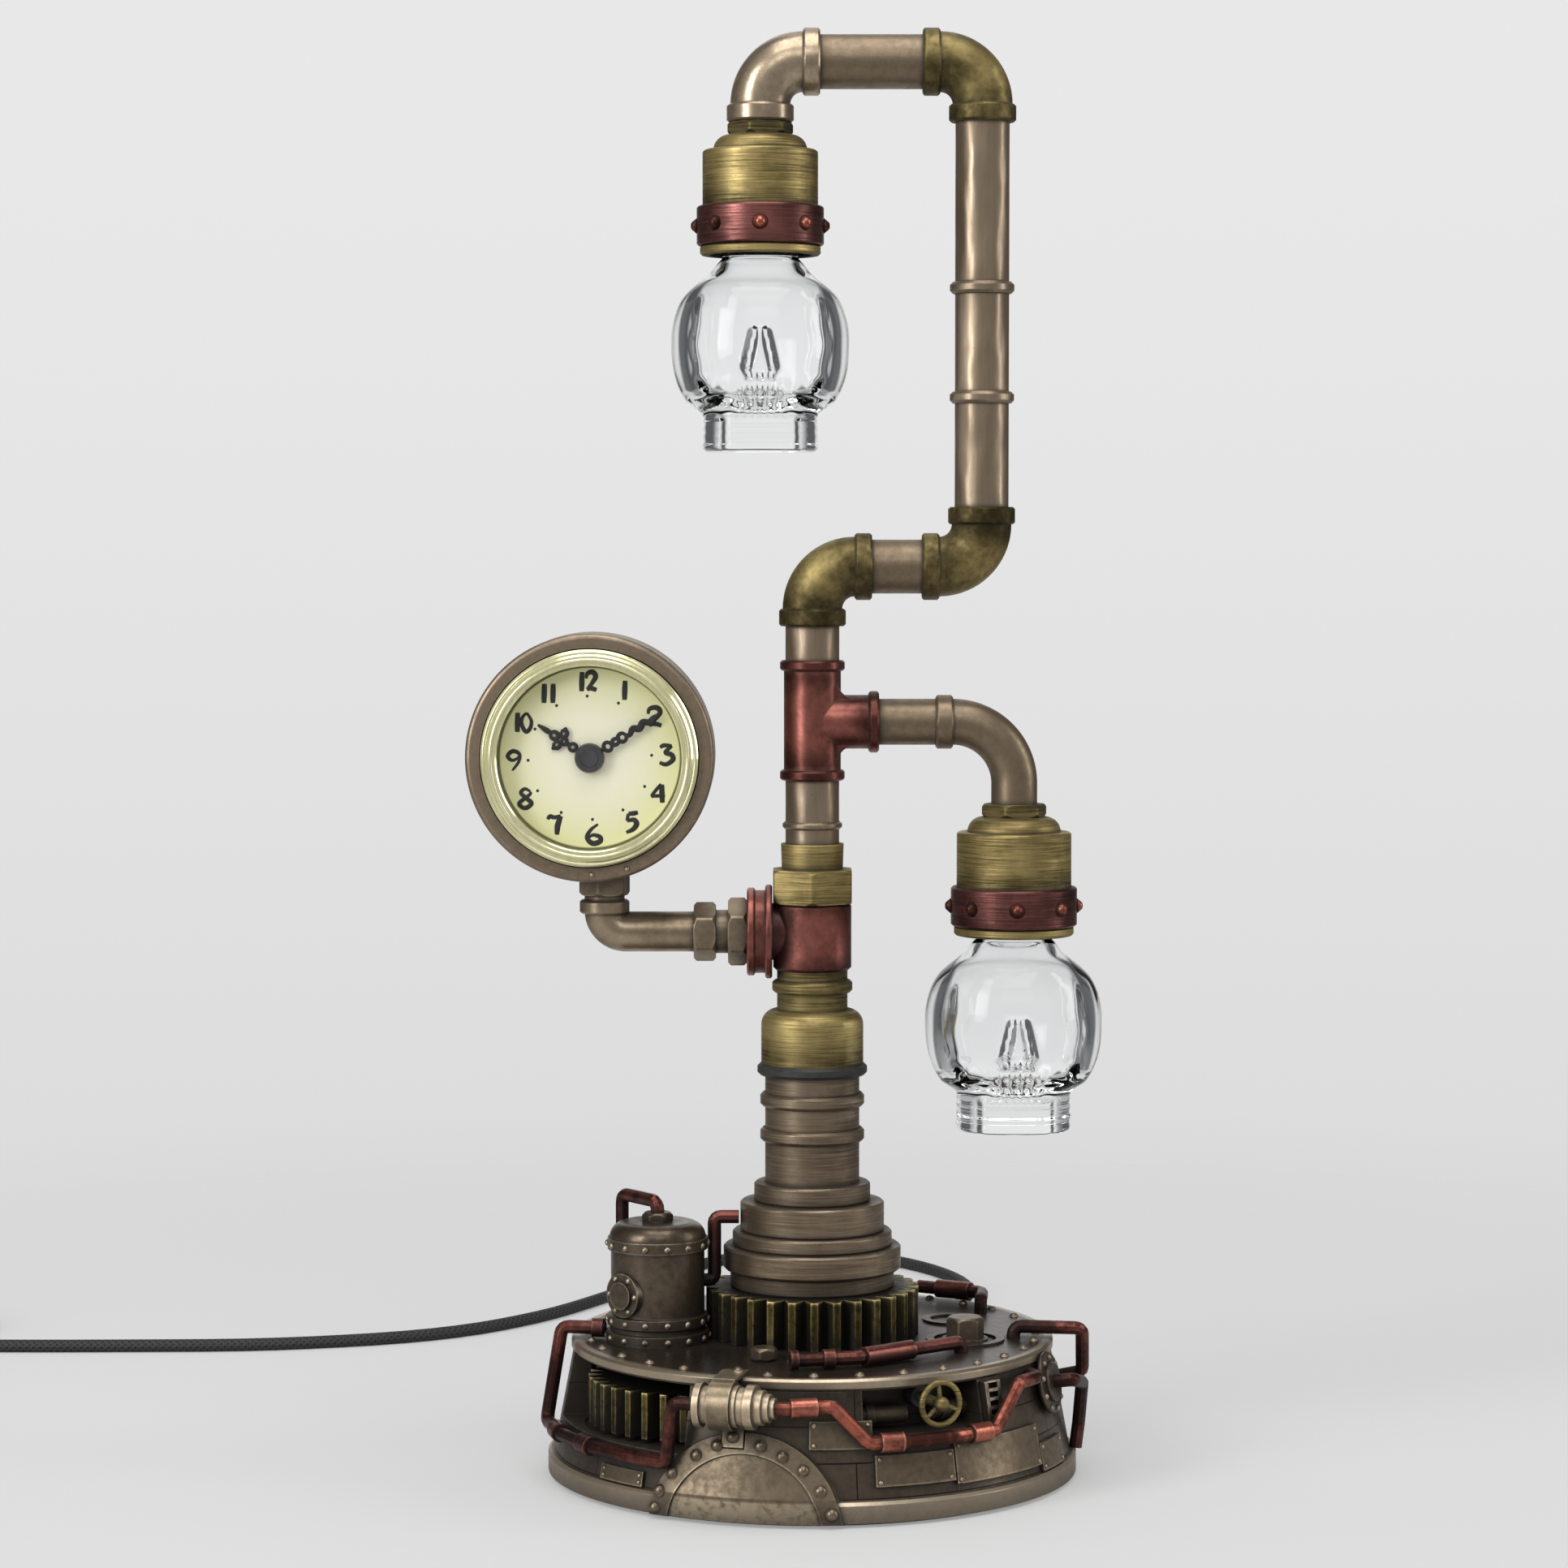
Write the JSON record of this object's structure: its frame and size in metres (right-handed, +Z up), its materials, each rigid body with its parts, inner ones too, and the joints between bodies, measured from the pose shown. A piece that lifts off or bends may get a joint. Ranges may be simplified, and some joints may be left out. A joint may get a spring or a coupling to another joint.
{
  "type": "desk lamp with clock",
  "caption": "Pipe desk lamp with a clock: a bent pipe column on a round riveted base carries skull-shaped glass shades that hang down and a round clock on a side arm.",
  "frame": {"origin": "centre of the felt pad's underside, on the column's axis", "axes": "+Z up along the column, -Y to the front of the dial, +X to the right as seen from the front"},
  "size_m": [0.5103, 0.4711, 0.4448],
  "materials": {
    "felt": "matt felt",
    "dark_resin": "cast resin with a dark bronze paint",
    "bronze_sheet": "rubbed bronze sheet",
    "ballast_steel": "plain steel",
    "black_plastic": "matt",
    "gear_brass": "cast resin with an antique brass paint",
    "copper_pipe": "satin copper",
    "bronze": "brushed bronze with a dark patina",
    "old_brass": "antique brass with dark ends",
    "red_copper": "dark red copper",
    "black_rubber": "matt",
    "lamp_white": "white diffuser",
    "shade_glass": "clear moulded glass",
    "bezel_gold": "polished champagne gold",
    "dial_cream": "matt cream",
    "lens_glass": "clear flat glass",
    "hand_black": "black",
    "cord_black": "black braid"
  },
  "bodies": {
    "stand": {"felt_pad": "felt", "bottom_cover": "dark_resin", "ballast_plate": "ballast_steel", "led_driver": "black_plastic", "base_shell": "dark_resin", "deck_plate": "dark_resin", "arch_plate": "dark_resin", "wall_panels": "bronze_sheet", "side_gear": "gear_brass", "top_gear": "gear_brass", "canister": "bronze_sheet", "canister_strap": "bronze_sheet", "front_pipe": "copper_pipe", "left_pipe": "copper_pipe", "side_hatch": "dark_resin", "side_pipes": "copper_pipe", "boiler_body": "dark_resin", "boiler_lid": "dark_resin", "boiler_hatch": "dark_resin", "boiler_pipes": "copper_pipe", "deck_bolts": "dark_resin", "deck_pipes": "copper_pipe", "valve_pipes": "bronze_sheet", "ladder_bracket": "dark_resin", "rotary_switch": "black_plastic", "column_foot": "bronze", "column_tube": "bronze", "seal_ring": "black_rubber", "bell_coupling": "old_brass", "lower_tee": "red_copper", "brass_nut": "old_brass", "column_nipples": "bronze", "upper_tee": "red_copper", "brass_elbows": "old_brass", "cross_pipes": "bronze", "riser_pipe": "bronze", "crown_elbow": "bronze", "branch_elbow": "bronze", "upper_cup": "old_brass", "lower_cup": "old_brass", "copper_bands": "red_copper", "shade_galleries": "black_rubber", "led_lamps": "lamp_white", "arm_unions": "old_brass", "arm_pipe": "bronze", "clock_drum": "bronze", "cord_gland": "black_plastic", "mains_cord": "cord_black", "cord_coil": "cord_black", "plug": "black_plastic"},
    "hand_wheel": {"hand_wheel": "old_brass"},
    "clock_insert": {"clock_movement": "black_plastic", "clock_bezel": "bezel_gold", "clock_dial": "dial_cream", "clock_lens": "lens_glass"},
    "minute_hand": {"minute_hand": "hand_black"},
    "hour_hand": {"hour_hand": "hand_black"},
    "setting_knob": {"setting_knob": "black_plastic"},
    "upper_shade": {"upper_shade": "shade_glass"},
    "lower_shade": {"lower_shade": "shade_glass"}
  },
  "joints": [
    {"name": "wheel_turn", "type": "hinge", "parent": "stand", "child": "hand_wheel", "pos_m": [0.03731, -0.07167, 0.0349], "axis": [0.4617, -0.887, 0], "range_deg": [0, 270]},
    {"name": "clock_pull", "type": "slide", "parent": "stand", "child": "clock_insert", "axis": [0, -1, 0], "range_m": [0, 0.026]},
    {"name": "minute_turn", "type": "hinge", "parent": "clock_insert", "child": "minute_hand", "pos_m": [-0.0681, 0, 0.222], "axis": [0, 1, 0], "continuous": true},
    {"name": "hour_turn", "type": "hinge", "parent": "clock_insert", "child": "hour_hand", "pos_m": [-0.0681, 0, 0.222], "axis": [0, 1, 0], "continuous": true},
    {"name": "knob_turn", "type": "hinge", "parent": "clock_insert", "child": "setting_knob", "pos_m": [-0.0681, 0, 0.212], "axis": [0, 1, 0], "continuous": true},
    {"name": "upper_shade_drop", "type": "slide", "parent": "stand", "child": "upper_shade", "axis": [0, 0, -1], "range_m": [0, 0.016]},
    {"name": "lower_shade_drop", "type": "slide", "parent": "stand", "child": "lower_shade", "axis": [0, 0, -1], "range_m": [0, 0.016]}
  ],
  "couplings": [
    {"joint": "hour_turn", "follows": "minute_turn", "ratio": 0.083333},
    {"joint": "knob_turn", "follows": "minute_turn", "ratio": -1}
  ]
}
